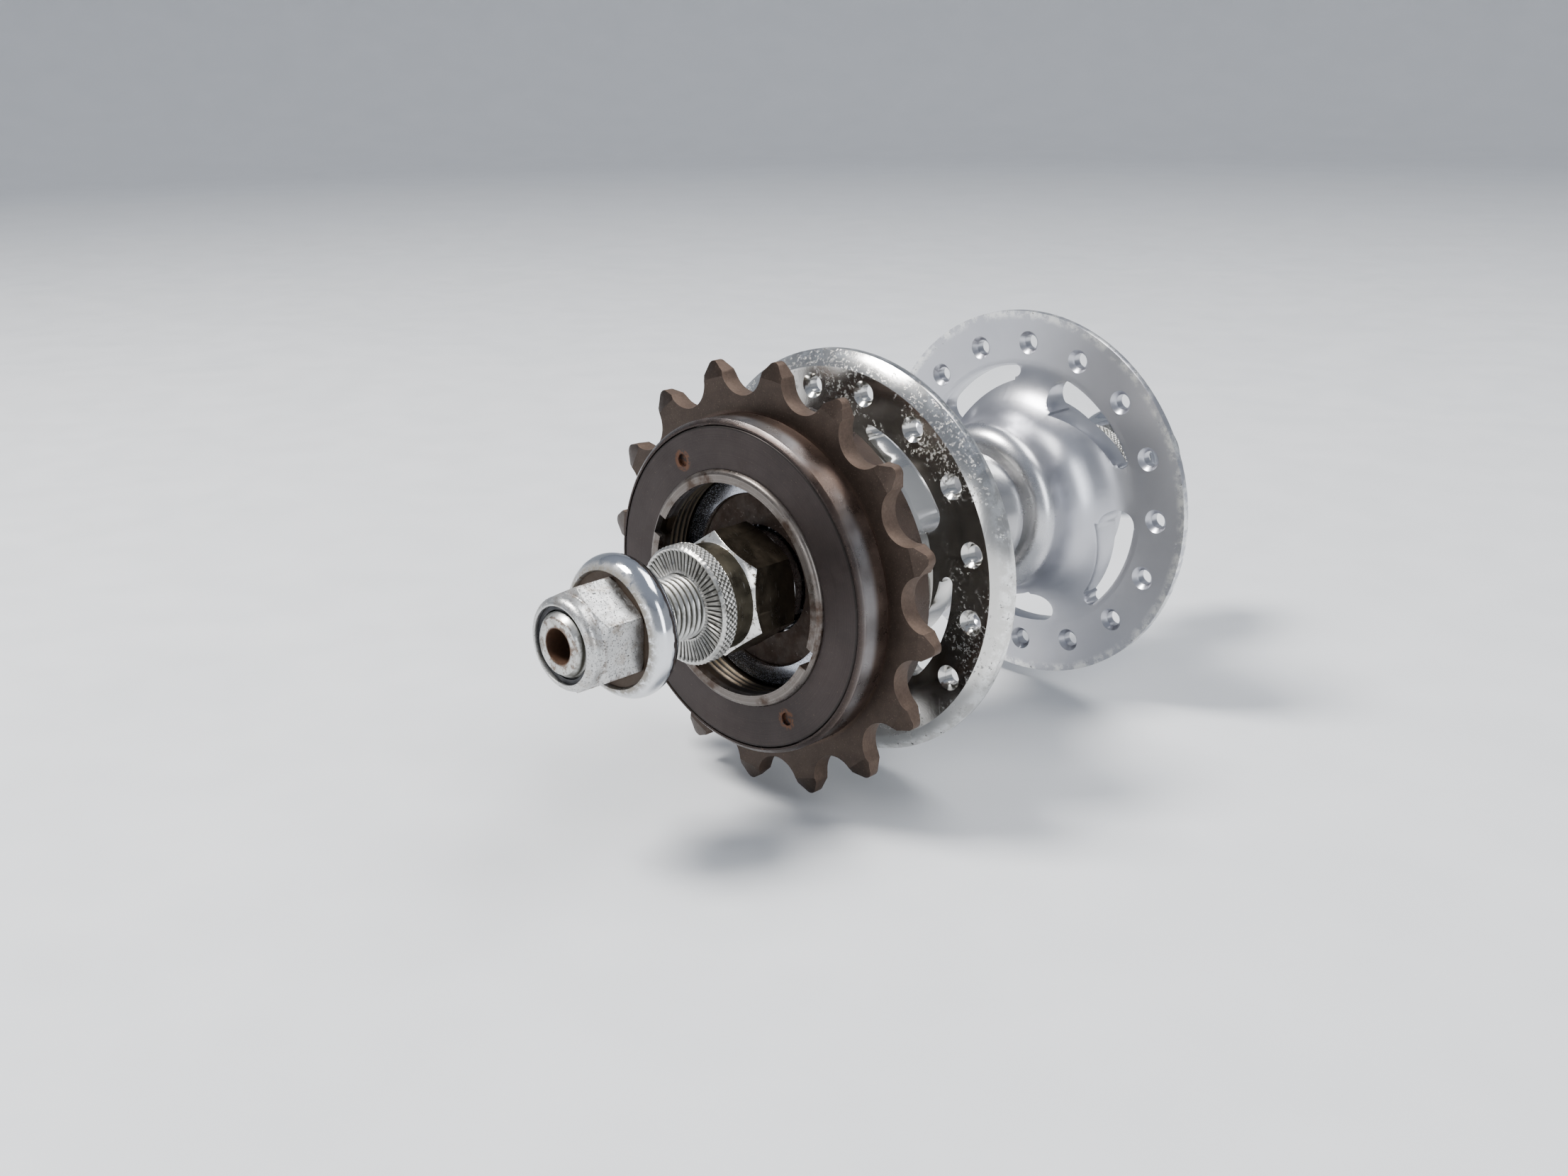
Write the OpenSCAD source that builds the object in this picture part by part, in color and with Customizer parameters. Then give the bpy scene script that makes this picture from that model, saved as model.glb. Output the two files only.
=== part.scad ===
// Single-speed bicycle rear hub: a high-flange aluminium shell turning on a nutted hollow axle,
// with a screwed-on freewheel that carries the chain sprocket. Millimetres.
// +Y runs along the axle away from the chain, +X is forward and +Z is up.
// The origin is on the axle's axis, 55 mm inside the outer face of the chain-side locknut.
// Profiles are drawn as (radius, distance along the axle) and turned about the axle.

/* [Axle] */
// Distance between the outer faces of the locknuts
old_width = 106; // [105:0.5:108]
// Overall length of the axle
axle_length = 152; // [151:0.2:154]
// Outside diameter of the axle's thread
axle_d = 10; // [9.5:0.5:10]
// Bore through the axle
axle_bore_d = 5.2; // [4.6:0.2:5.4]
// Gap for the frame end, between locknut and washer, on the chain side
dropout_gap = 8.8; // [6.5:0.1:9]
// The same gap on the far side, where the nut is screwed further on
far_gap = 5.5; // [5:0.1:6.5]

/* [Axle fittings] */
// Size across the flats of the axle nuts
nut_af = 14; // [13:0.5:15]
// Outside diameter of the rounded washers under the axle nuts
washer_d = 21.4; // [20:0.2:23]
// Thickness of those washers
washer_t = 5.6; // [5:0.1:6]
// Outside diameter of the knurled locknuts
locknut_d = 18.3; // [17:0.1:19]
// Thickness of the knurled locknuts
locknut_t = 3; // [2.5:0.1:3.5]
// Size across the flats of the hex spacer on the chain side
spacer_af = 17; // [16.5:0.5:17]
// Diameter of the round nose of the hex spacer
spacer_nose_d = 16.4; // [15.6:0.2:16.4]

/* [Hub shell] */
// Outer diameter of both flanges
flange_d = 66; // [65:0.5:68]
// Thickness of both flanges
flange_t = 3.2; // [2.8:0.1:3.4]
// Outer face of the chain-side flange, measured from the origin
flange_near = -20.8; // [-21:0.1:-20.6]
// Outer face of the other flange, measured from the origin
flange_far = 32; // [31.5:0.1:32.5]
// Spoke holes in each flange
spoke_holes = 16; // [14:2:18]
// Diameter of the circle through the spoke holes
spoke_pcd = 55; // [54.5:0.5:56]
// Diameter of a spoke hole
spoke_hole_d = 2.6; // [2.4:0.1:2.8]
// Slots cut through each flange
slots = 5; // [4:1:5]
// Angle from the tip to the tip of one slot, in degrees
slot_angle = 53; // [50:1:56]
// Outer diameter of the bearing housings inboard of the flanges
housing_d = 30; // [29:0.5:32]
// Diameter of the barrel between the housings
barrel_d = 21; // [20:0.5:24]

/* [Freewheel] */
// Teeth on the sprocket
teeth = 16; // [16:1:18]
// Chain pitch
chain_pitch = 12.7; // [12.6:0.1:12.8]
// Chain roller diameter
roller_d = 7.75; // [7.7:0.05:7.8]
// Thickness of the teeth
tooth_t = 3; // [2.2:0.1:3.2]
// Diameter of the freewheel's turning outer body
body_d = 52.2; // [52:0.1:53]
// Diameter of the thread that joins freewheel and hub shell
hub_thread_d = 34.7; // [34.5:0.1:34.7]
// Ratchet teeth inside the outer body
ratchet_teeth = 24; // [12:12:24]
// How far the pawls swing between out and pressed in, in degrees
pawl_swing = 9; // [8:0.5:9]

/* [Bearings] */
// Diameter of the hub's bearing balls
hub_ball_d = 6.35; // [6.1:0.05:6.35]
// Balls in each hub bearing
hub_balls = 9; // [8:1:9]
// Diameter of the freewheel's bearing balls
fw_ball_d = 3.175; // [3:0.025:3.175]
// Balls in each freewheel bearing
fw_balls = 24; // [12:1:36]

/* [Hidden] */
$fn = 96;

cut = 0.5;                                  // how far a cutter runs past a face
play = 0.05;                                // radial clearance of assembled pieces
edge = 0.4;                                 // small chamfer on turned pieces
axle_r = axle_d / 2;
on_axle_r = axle_r + play;                  // bore of everything screwed on the axle

// Stack of pieces on the chain-side axle end, measured outwards from the origin
locknut_out = 55;
axle_out = 78.2;                            // end of the axle
locknut_in = locknut_out - locknut_t;
washer_in = locknut_out + dropout_gap;
washer_out = washer_in + washer_t;
washer_recess = 0.8;
nut_in = washer_out - washer_recess;
nut_out = axle_out - 0.3;
nut_collar = 2.3;
axle_end_chamfer = 0.9;
far_locknut_shift = 2 * locknut_out - old_width;    // the far end's pieces sit further in
far_nut_shift = far_locknut_shift + dropout_gap - far_gap;
insert_r = 6.2;                             // locking insert inside the nut's collar
insert_in = nut_out - nut_collar + 0.3;
insert_out = nut_out - 0.7;
insert_play = 0.02;
nut_angle = 64;                             // angle of one corner of the nut
spacer_angle = 55.4;                        // angle of one corner of the hex spacer
spacer_hex_end = 3.7;                       // length of the round nose beyond the hexagon
pin_depth = cover_t - 0.3;                  // depth of the blind pin holes in the cover ring
press = 0.01;                               // clearance between a pressed-in cup and the shell

// Shell, along +Y
boss_near = -38.5;                          // end face of the threaded boss
boss_far = flange_far + 3;                  // end face of the plain boss
shoulder_near = -28.8;                      // face the freewheel is screwed up against
shoulder_r = 19.6;
boss_far_r = 17.2;
flange_r = flange_d / 2;
bevel = [2.5, 1.9];                         // radial and axial size of the flange's outer bevel
flare_r = 9.5;                              // fillet from flange to housing
housing_len = 14.5;                         // from flange to barrel
housing_round = 3.6;                        // rounding at the housing's inner end
shell_bore_r = 8.5;
countersink_r = 2.05;
slot_rim_r = 23.4;                          // outer edge of the slots
slot_wide_r = 17.9;                         // inner edge of a slot at its wide end
slot_narrow_r = 21.4;                       // inner edge of a slot at its narrow end
slot_centre = 42;                           // angle of the middle of the first slot
near_hole_angle = 180 / spoke_holes;        // the two flanges' holes are staggered
far_hole_angle = 0;

// Hub bearings: distances inboard of a boss's end face
cup_mouth = 1.9;
ball_depth = 5.3;
cup_depth = 9.9;
cup_r = 13.8;
cup_bore_r = shell_bore_r;
ball_track_r = 9.5;
cone_r = 8.2;
cone_stand = 1.3;                           // the cone's end stands this far out of the boss
dust_cap_hole_r = 8.6;
ball_play = 0.04;                           // clearance between a ball and its track

// Freewheel, along +Y
fw_face = -44.2;                            // face of the cover ring
fw_lip = fw_face - 0.8;
fw_back = shoulder_near;
tooth_front = -38.8;
tooth_back = tooth_front + tooth_t;
body_r = body_d / 2;
pitch_r = chain_pitch / (2 * sin(180 / teeth));
seat_r = roller_d / 2 + 0.5;                // a worn, opened-out roller seat
seat_shift = 0.5;                           // and its centre outside the pitch circle
tip_r = pitch_r + 1.8;
tooth_angle = 5.8;                          // angle of the first tooth
lip_bore_r = 16.6;
lip_r = 18.5;
fw_bore_r = hub_thread_d / 2 + 0.07;
carrier_r = 21.2;                           // part of the inner body that holds the pawls
fw_track_r = 22.9;
front_ball_y = fw_face + 3.5;
rear_ball_y = fw_back - 2.4;
cover_t = 1.9;
cover_r = 25.05;
cover_hub = 2.6;                            // depth of the cover ring behind its plate
shim_t = 0.4;
carrier_front = fw_face + cover_t + cover_hub + shim_t;
rear_flange_r = 24.4;
rear_flange_t = 1;
ball_room_r = fw_track_r + fw_ball_d / 2 + 0.16;
ratchet_tip_r = 22.3;
ratchet_root_r = 23.5;
ratchet_front = front_ball_y + 1.4;
ratchet_back = rear_ball_y - 1.4;
pin_hole_r = 1;
pin_circle_r = 21.2;
pin_angle = 150;
notch_angle = 115;
notch_w = 3.4;
notch_r = 17.9;
notch_depth = 2.4;

// Pawls: a heel that rolls in a socket and an arm that trails to the ratchet. They are drawn
// pressed in, as a passing ratchet tooth holds them, and swing out by pawl_swing to drive.
pawl_angle = 60;                            // angle of the first pawl's heel
pawl_pivot_r = 19.95;
heel_r = 1.15;
pawl_arm = 18;                              // angle from the heel to the pawl's tip
pawl_tip_r = 23.1;
pawl_toe_r = 21.3;
pawl_w = 4.6;
pocket_w = 5;
pocket_y = (ratchet_front + ratchet_back) / 2;
pocket_floor = 18.45;
pocket_len = 8.2;
leaf_t = 0.25;
leaf_w = 3;
pawl_lag = 1.5;                             // angle from a driving pawl's tip to the tooth it swings past
ratchet_angle = pawl_angle - pawl_arm - pawl_lag;

steel = "silver";
zinc = "lightgray";
dark_steel = "dimgray";
bronze_steel = "#4a3b33";
shell_colour = "gainsboro";

// ---- helpers -------------------------------------------------------------------------------

// Lays local +Z along the axle; an angle is measured from +Z (up) towards +X (forward)
module along_axle() {
    rotate([-90, 0, 0]) children();
}

module at_angle(a) {
    rotate([0, 0, a - 90]) children();
}

module turned(steps = 144) {
    rotate_extrude($fn = steps) children();
}

// A piece drawn for the +Y end is mirrored to the chain side, or moved in at the far end
module near_side() {
    mirror([0, 0, 1]) children();
}

module far_side(shift) {
    translate([0, 0, -shift]) children();
}

function polar(r, a) = [r * cos(a), r * sin(a)];

// Rectangle from radius r1 to r2 and from y1 to y2, with chamfered outer corners
module ring_profile(r1, r2, y1, y2, c1 = 0, c2 = 0) {
    polygon([[r1, y1], [r2 - c1, y1], [r2, y1 + c1], [r2, y2 - c2], [r2 - c2, y2], [r1, y2]]);
}

module ball_ring(count, track_r, y, d) {
    for (i = [0 : count - 1])
        at_angle(i * 360 / count)
            translate([track_r, 0, y])
                sphere(d = d, $fn = 48);
}

// ---- pieces on the axle --------------------------------------------------------------------

module axle() {
    color(steel) along_axle() turned()
        ring_profile(axle_bore_d / 2, axle_r, -axle_out, axle_length - axle_out,
                     axle_end_chamfer, axle_end_chamfer);
}

// Bearing cone, its race cut round the balls; boss_out is the boss's end measured outwards
module cone_body(boss_out) {
    ball_y = boss_out - ball_depth;
    nose_r = ball_track_r - hub_ball_d / 2 - ball_play;
    turned() difference() {
        polygon([
            [on_axle_r, boss_out + cone_stand],
            [cone_r - edge, boss_out + cone_stand],
            [cone_r, boss_out + cone_stand - edge],
            [cone_r, ball_y + 0.6],
            [nose_r, ball_y - 0.4],
            [on_axle_r + 0.6, ball_y - 2],
            [on_axle_r, ball_y - 2],
        ]);
        translate([ball_track_r, ball_y]) circle(d = hub_ball_d + 2 * ball_play, $fn = 96);
    }
}

module right_cone() {
    color(steel) along_axle() near_side() cone_body(-boss_near);
}

module left_cone() {
    color(steel) along_axle() cone_body(boss_far);
}

// Long hexagon with turned ends and a round nose that meets the locknut
module right_hex_spacer() {
    hex_out = locknut_in - spacer_hex_end;
    hex_in = cone_stand - boss_near;
    corner_r = spacer_af / 2 / cos(30);
    nose_r = spacer_nose_d / 2;
    color(dark_steel) along_axle() near_side() {
        difference() {
            union() {
                intersection() {
                    at_angle(spacer_angle)
                        translate([0, 0, hex_in])
                            cylinder(r = corner_r, h = hex_out - hex_in, $fn = 6);
                    turned() polygon([
                        [0, hex_in],
                        [corner_r - 1.2, hex_in],
                        [corner_r + 0.1, hex_in + 0.8],
                        [corner_r + 0.1, hex_out - 1.1],
                        [corner_r - 1.7, hex_out],
                        [0, hex_out],
                    ]);
                }
                turned() ring_profile(0, nose_r, hex_out - cut, locknut_in, 0, edge);
            }
            translate([0, 0, hex_in - cut])
                cylinder(r = on_axle_r, h = locknut_in - hex_in + 2 * cut);
        }
    }
}

module left_spacer() {
    color(steel) along_axle() turned()
        ring_profile(on_axle_r, cone_r - 0.6, boss_far + cone_stand,
                     locknut_in - far_locknut_shift, edge, edge);
}

module locknut() {
    turned() ring_profile(on_axle_r, locknut_d / 2, locknut_in, locknut_out, edge, edge);
}

module right_locknut() {
    color(zinc) along_axle() near_side() locknut();
}

module left_locknut() {
    color(zinc) along_axle() far_side(far_locknut_shift) locknut();
}

// Washer with a full round rim and a shallow recess that takes the nut
module dome_washer() {
    rim_r = washer_t / 2;
    rim_centre = washer_d / 2 - rim_r;
    recess_r = nut_af / 2 / cos(30) + 0.4;
    turned() difference() {
        union() {
            ring_profile(on_axle_r + 0.1, rim_centre, washer_in, washer_out);
            translate([rim_centre, washer_in + rim_r]) circle(r = rim_r, $fn = 96);
        }
        polygon([
            [0, nut_in],
            [recess_r, nut_in],
            [recess_r + 0.6, washer_out + cut],
            [0, washer_out + cut],
        ]);
    }
}

module right_dome_washer() {
    color(zinc) along_axle() near_side() dome_washer();
}

module left_dome_washer() {
    color(zinc) along_axle() far_side(far_nut_shift) dome_washer();
}

// Hexagon nut with a rounded collar that holds a locking insert
module axle_nut() {
    hex_out = nut_out - nut_collar;
    corner_r = nut_af / 2 / cos(30);
    collar_r = nut_af / 2 - 0.1;
    collar_round = 1.3;
    lip_hole_r = axle_r + 0.7;
    difference() {
        union() {
            intersection() {
                at_angle(nut_angle)
                    translate([0, 0, nut_in]) cylinder(r = corner_r, h = hex_out - nut_in, $fn = 6);
                turned() polygon([
                    [0, nut_in],
                    [corner_r - 0.6, nut_in],
                    [corner_r + 0.1, nut_in + 0.4],
                    [corner_r + 0.1, hex_out - 0.8],
                    [corner_r - 1.3, hex_out],
                    [0, hex_out],
                ]);
            }
            turned() union() {
                ring_profile(0, collar_r - collar_round, hex_out - cut, nut_out);
                ring_profile(0, collar_r, hex_out - cut, nut_out - collar_round);
                translate([collar_r - collar_round, nut_out - collar_round])
                    circle(r = collar_round, $fn = 64);
            }
        }
        translate([0, 0, nut_in - cut]) cylinder(r = on_axle_r, h = nut_out - nut_in + 2 * cut);
        translate([0, 0, insert_out - cut]) cylinder(r = lip_hole_r, h = 2 * cut + 1);
        translate([0, 0, insert_in]) cylinder(r = insert_r, h = insert_out - insert_in);
    }
}

module nut_insert() {
    turned()
        ring_profile(on_axle_r, insert_r - insert_play,
                     insert_in + insert_play, insert_out - insert_play);
}

module right_axle_nut() {
    color(zinc) along_axle() near_side() axle_nut();
}

module left_axle_nut() {
    color(zinc) along_axle() far_side(far_nut_shift) axle_nut();
}

module right_nut_insert() {
    color("darkslategray") along_axle() near_side() nut_insert();
}

module left_nut_insert() {
    color("darkslategray") along_axle() far_side(far_nut_shift) nut_insert();
}

// ---- hub shell -----------------------------------------------------------------------------

// Flange disc from its inner face (y = 0) outwards, with the outer bevel
module flange_profile() {
    polygon([
        [0, 0],
        [flange_r, 0],
        [flange_r, flange_t - bevel[1]],
        [flange_r - bevel[0], flange_t],
        [0, flange_t],
    ]);
}

// Bearing housing inboard of a flange's inner face (y = 0), running towards -y
module housing_profile() {
    r = housing_d / 2;
    square_end = housing_len - housing_round;
    translate([0, -square_end]) square([r, square_end + cut]);
    translate([0, -housing_len]) square([r - housing_round, housing_len]);
    translate([r - housing_round, -square_end]) circle(r = housing_round, $fn = 96);
    difference() {
        translate([0, -flare_r]) square([r + flare_r, flare_r + cut]);
        translate([r + flare_r, -flare_r]) circle(r = flare_r, $fn = 128);
    }
}

// Teardrop slot: concentric outer edge, eccentric inner edge, round ends. Wide end first.
module slot_shape() {
    wide = (slot_rim_r - slot_wide_r) / 2;
    narrow = (slot_rim_r - slot_narrow_r) / 2;
    wide_angle = asin(wide / (slot_rim_r - wide));
    narrow_angle = asin(narrow / (slot_rim_r - narrow));
    half = (slot_angle - wide_angle - narrow_angle) / 2;
    mid = (wide_angle - narrow_angle) / 2;
    shift = (slot_narrow_r - slot_wide_r) / 2 / sin(half);
    rotate([0, 0, mid]) {
        intersection() {
            difference() {
                circle(r = slot_rim_r, $fn = 144);
                rotate([0, 0, 90])
                    translate([shift, 0]) circle(r = (slot_wide_r + slot_narrow_r) / 2, $fn = 144);
            }
            polygon([[0, 0], polar(2 * slot_rim_r, -half), polar(2 * slot_rim_r, half)]);
        }
        rotate([0, 0, -half]) translate([slot_rim_r - wide, 0]) circle(r = wide, $fn = 48);
        rotate([0, 0, half]) translate([slot_rim_r - narrow, 0]) circle(r = narrow, $fn = 48);
    }
}

// Cutters for one flange whose lower face is at y = 0
module flange_cuts(hole_angle) {
    for (i = [0 : spoke_holes - 1])
        at_angle(hole_angle + i * 360 / spoke_holes)
            translate([spoke_pcd / 2, 0, 0]) {
                translate([0, 0, -cut]) cylinder(d = spoke_hole_d, h = flange_t + 2 * cut, $fn = 32);
                translate([0, 0, -0.01])
                    cylinder(r1 = countersink_r, r2 = spoke_hole_d / 2, h = 0.8, $fn = 32);
                translate([0, 0, flange_t - 0.79])
                    cylinder(r1 = spoke_hole_d / 2, r2 = countersink_r, h = 0.8, $fn = 32);
            }
}

module slot_cuts(mirrored) {
    for (i = [0 : slots - 1])
        at_angle(slot_centre + i * 360 / slots)
            translate([0, 0, -flare_r - cut])
                linear_extrude(flare_r + flange_t + 2 * cut)
                    mirror([0, mirrored ? 1 : 0]) slot_shape();
}

module hub_shell() {
    near_inner = flange_near + flange_t;
    far_inner = flange_far - flange_t;
    color(shell_colour) along_axle() difference() {
        turned(180) difference() {
            union() {
                translate([0, near_inner]) mirror([0, 1]) {
                    flange_profile();
                    housing_profile();
                }
                translate([0, far_inner]) {
                    flange_profile();
                    housing_profile();
                }
                translate([0, near_inner]) square([barrel_d / 2, far_inner - near_inner]);
                ring_profile(0, shoulder_r, shoulder_near, flange_near + cut, edge);
                ring_profile(0, hub_thread_d / 2, boss_near, shoulder_near + cut, 0.8);
                ring_profile(0, boss_far_r, flange_far - cut, boss_far, 0, 0.8);
            }
            translate([0, boss_near - cut]) square([shell_bore_r, boss_far - boss_near + 2 * cut]);
            translate([0, boss_near - cut]) square([cup_r, cup_depth + cut]);
            translate([0, boss_far - cup_depth]) square([cup_r, cup_depth + cut]);
        }
        translate([0, 0, flange_near]) flange_cuts(near_hole_angle);
        translate([0, 0, far_inner]) flange_cuts(far_hole_angle);
        near_side() translate([0, 0, -near_inner]) slot_cuts(true);
        translate([0, 0, far_inner]) slot_cuts(false);
    }
}

// Pressed bearing cup, open outwards, its race cut round the balls
module cup_body(boss_out) {
    ball_y = boss_out - ball_depth;
    turned() difference() {
        ring_profile(cup_bore_r, cup_r - press, boss_out - cup_depth, boss_out - cup_mouth);
        translate([ball_track_r, ball_y]) circle(d = hub_ball_d + 2 * ball_play, $fn = 96);
        translate([0, ball_y]) square([ball_track_r + hub_ball_d / 2 - 0.4, cup_depth]);
    }
}

module right_cup() {
    color(steel) along_axle() near_side() cup_body(-boss_near);
}

module left_cup() {
    color(steel) along_axle() cup_body(boss_far);
}

module dust_cap(boss_out) {
    cap_t = 1;
    turned() ring_profile(dust_cap_hole_r, cup_r - press, boss_out - cup_mouth,
                          boss_out - cup_mouth + cap_t, 0, 0.3);
}

module right_dust_cap() {
    color("saddlebrown") along_axle() near_side() dust_cap(-boss_near);
}

module left_dust_cap() {
    color(steel) along_axle() dust_cap(boss_far);
}

module right_hub_balls() {
    color("white") along_axle() ball_ring(hub_balls, ball_track_r, boss_near + ball_depth, hub_ball_d);
}

module left_hub_balls() {
    color("white") along_axle() ball_ring(hub_balls, ball_track_r, boss_far - ball_depth, hub_ball_d);
}

// ---- freewheel -----------------------------------------------------------------------------

module fw_ball_groove(y) {
    translate([fw_track_r, y]) circle(d = fw_ball_d + 2 * ball_play, $fn = 64);
}

// Socket and trench for one pawl; local +X points outwards at the pawl's heel
module pawl_pocket() {
    translate([0, 0, pocket_y - pocket_w / 2])
        linear_extrude(pocket_w) {
            translate([pawl_pivot_r, 0]) circle(r = heel_r + play, $fn = 48);
            polygon([
                [pocket_floor, -0.2],
                [pocket_floor, -pocket_len],
                [carrier_r + 3, -pocket_len],
                [carrier_r + 3, -0.2],
            ]);
        }
}

module freewheel_inner_body() {
    lip_round = 0.8;
    color(bronze_steel) along_axle() difference() {
        turned() difference() {
            union() {
                ring_profile(0, carrier_r, carrier_front, fw_back, 0.3);
                ring_profile(0, rear_flange_r, fw_back - rear_flange_t, fw_back, 0, 0.2);
                ring_profile(0, lip_r, fw_lip + lip_round, carrier_front + cut);
                ring_profile(0, lip_r - lip_round, fw_lip, fw_face);
                translate([lip_r - lip_round, fw_lip + lip_round]) circle(r = lip_round, $fn = 48);
            }
            fw_ball_groove(rear_ball_y);
            translate([0, fw_lip - cut]) square([lip_bore_r, fw_back - fw_lip + 2 * cut]);
            translate([0, fw_lip + notch_depth]) square([fw_bore_r, fw_back - fw_lip]);
        }
        for (i = [0, 1]) {
            at_angle(pawl_angle + 180 * i) pawl_pocket();
            at_angle(notch_angle + 180 * i)
                translate([0, -notch_w / 2, fw_lip - cut]) cube([notch_r, notch_w, notch_depth + cut]);
        }
    }
}

module freewheel_cover_ring() {
    plate_back = fw_face + cover_t;
    color(bronze_steel) along_axle() difference() {
        turned() difference() {
            union() {
                ring_profile(lip_r + play, cover_r, fw_face, plate_back, 0.15);
                ring_profile(lip_r + play, carrier_r, fw_face + edge, plate_back + cover_hub);
            }
            fw_ball_groove(front_ball_y);
        }
        for (i = [0, 1])
            at_angle(pin_angle + 180 * i)
                translate([pin_circle_r, 0, fw_face - cut])
                    cylinder(r = pin_hole_r, h = pin_depth + cut, $fn = 32);
    }
}

module freewheel_shim() {
    color(steel) along_axle() turned()
        ring_profile(lip_r + play, carrier_r - 0.3, carrier_front - shim_t, carrier_front);
}

// Flat spring under one pawl
module leaf_spring() {
    translate([pocket_floor, -pocket_len + 0.3, pocket_y - leaf_w / 2])
        cube([leaf_t, pocket_len - 1.9, leaf_w]);
}

module pawl_springs() {
    color(steel) along_axle()
        for (i = [0, 1]) at_angle(pawl_angle + 180 * i) leaf_spring();
}

// Pawl with its heel at local (pawl_pivot_r, 0), pressed in from its driving position
module pawl() {
    pivot = [pawl_pivot_r, 0];
    translate([pawl_pivot_r, 0, pocket_y - pawl_w / 2])
        rotate([0, 0, -pawl_swing])
            linear_extrude(pawl_w) {
                circle(r = heel_r, $fn = 48);
                polygon([
                    [heel_r, 0],
                    [-heel_r, 0],
                    polar(pawl_toe_r, -pawl_arm) - pivot,
                    polar(pawl_tip_r, -pawl_arm) - pivot,
                ]);
            }
}

module pawl_a() {
    color(dark_steel) along_axle() at_angle(pawl_angle) pawl();
}

module pawl_b() {
    color(dark_steel) along_axle() at_angle(pawl_angle + 180) pawl();
}

// Space inside the ratchet: steep faces drive the pawls forwards, ramps lift them
module ratchet_space() {
    step = 360 / ratchet_teeth;
    polygon([
        for (i = [0 : ratchet_teeth - 1])
            for (end = [0, 1])
                polar(end == 0 ? ratchet_tip_r : ratchet_root_r, i * step)
    ]);
}

// One tooth above the pitch circle, along local +X: straight flanks and a round tip
module tooth_top() {
    round_r = 1.1;
    root_half = chain_pitch / 2 - seat_r + 0.1;
    translate([tip_r - round_r, 0]) circle(r = round_r, $fn = 32);
    polygon([
        [pitch_r - 0.9, -root_half],
        [pitch_r - 0.1, -root_half],
        [tip_r - round_r * 0.5, -round_r * 0.87],
        [tip_r - round_r * 0.5, round_r * 0.87],
        [pitch_r - 0.1, root_half],
        [pitch_r - 0.9, root_half],
    ]);
}

module tooth_disc() {
    side = 0.75;                            // bevel of the tooth tips on each side
    step = 360 / teeth;
    intersection() {
        translate([0, 0, tooth_front]) linear_extrude(tooth_t) difference() {
            union() {
                circle(r = pitch_r, $fn = 180);
                for (i = [0 : teeth - 1]) rotate([0, 0, i * step]) tooth_top();
            }
            for (i = [0 : teeth - 1])
                rotate([0, 0, (i + 0.5) * step]) translate([pitch_r + seat_shift, 0])
                    circle(r = seat_r, $fn = 48);
        }
        turned() polygon([
            [0, tooth_front],
            [tip_r - 2.6, tooth_front],
            [tip_r, tooth_front + side],
            [tip_r, tooth_back - side],
            [tip_r - 2.6, tooth_back],
            [0, tooth_back],
        ]);
    }
}

module sprocket() {
    counterbore = fw_face + cover_t + 0.2;
    color(bronze_steel) along_axle() difference() {
        union() {
            at_angle(tooth_angle) tooth_disc();
            turned() {
                ring_profile(0, body_r, fw_face, tooth_back, 0.6);
                ring_profile(0, body_r - 0.1, tooth_back - cut, fw_back - 0.1, 0, 0.5);
            }
        }
        turned() {
            translate([0, fw_face - cut]) square([cover_r + 0.15, counterbore - fw_face + cut]);
            translate([0, fw_face]) square([ball_room_r, front_ball_y - fw_face]);
            translate([0, fw_face]) square([fw_track_r, ratchet_front - fw_face]);
            fw_ball_groove(front_ball_y);
            fw_ball_groove(rear_ball_y);
            translate([0, rear_ball_y]) square([ball_room_r, fw_back - rear_ball_y + cut]);
            translate([0, ratchet_back]) square([fw_track_r, fw_back - ratchet_back + cut]);
        }
        translate([0, 0, ratchet_front - cut])
            linear_extrude(ratchet_back - ratchet_front + 2 * cut)
                at_angle(ratchet_angle) ratchet_space();
    }
}

module freewheel_front_balls() {
    color("white") along_axle() ball_ring(fw_balls, fw_track_r, front_ball_y, fw_ball_d);
}

module freewheel_rear_balls() {
    color("white") along_axle() ball_ring(fw_balls, fw_track_r, rear_ball_y, fw_ball_d);
}

// ---- drawing -------------------------------------------------------------------------------

axle();
right_cone();
left_cone();
right_hex_spacer();
left_spacer();
right_locknut();
left_locknut();
right_dome_washer();
left_dome_washer();
right_axle_nut();
left_axle_nut();
right_nut_insert();
left_nut_insert();
hub_shell();
right_cup();
left_cup();
right_dust_cap();
left_dust_cap();
freewheel_inner_body();
freewheel_cover_ring();
freewheel_shim();
pawl_springs();
sprocket();
pawl_a();
pawl_b();
right_hub_balls();
left_hub_balls();
freewheel_front_balls();
freewheel_rear_balls();
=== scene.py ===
"""Looks of a single-speed bicycle rear hub with its freewheel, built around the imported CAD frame.
Lengths are in metres; +Y runs along the axle, away from the chain."""
import math

import bpy
from mathutils import Matrix, Vector


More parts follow.
